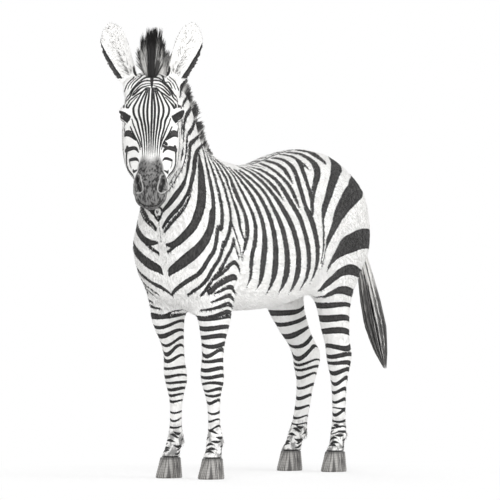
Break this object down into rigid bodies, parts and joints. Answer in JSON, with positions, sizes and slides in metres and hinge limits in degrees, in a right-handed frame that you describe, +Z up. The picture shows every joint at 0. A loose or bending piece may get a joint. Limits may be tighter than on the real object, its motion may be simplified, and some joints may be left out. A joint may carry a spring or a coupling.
{
  "type": "zebra",
  "caption": "Life-size adult zebra standing square on four hooves, head turned to its left towards the viewer, upright mane and forelock, tail hanging.",
  "frame": {"origin": "middle of the outline's box, on the ground", "axes": "+Z up; the animal faces -Y; its left side is +X"},
  "size_m": [0.5292, 1.823, 1.8134],
  "materials": {
    "coat": "short flat hair, banded charcoal black and off-white; 0.35 to 0.8 by region",
    "long_hair": "coarse standing and hanging hair, black with off-white blocks",
    "hoof": "smooth grey horn with faint growth rings",
    "eye": "wet dark brown"
  },
  "bodies": {
    "root": {"trunk": "coat", "neck": "coat", "head": "coat", "eye_left": "eye", "ear_left": "coat", "eye_right": "eye", "ear_right": "coat", "leg_fore_left_upper": "coat", "leg_fore_left_lower": "coat", "hoof_fore_left": "hoof", "leg_fore_right_upper": "coat", "leg_fore_right_lower": "coat", "hoof_fore_right": "hoof", "leg_hind_left_upper": "coat", "leg_hind_left_lower": "coat", "hoof_hind_left": "hoof", "leg_hind_right_upper": "coat", "leg_hind_right_lower": "coat", "hoof_hind_right": "hoof", "forelock": "long_hair", "mane": "long_hair", "tail_dock": "coat", "tail_tuft": "long_hair"}
  },
  "joints": []
}
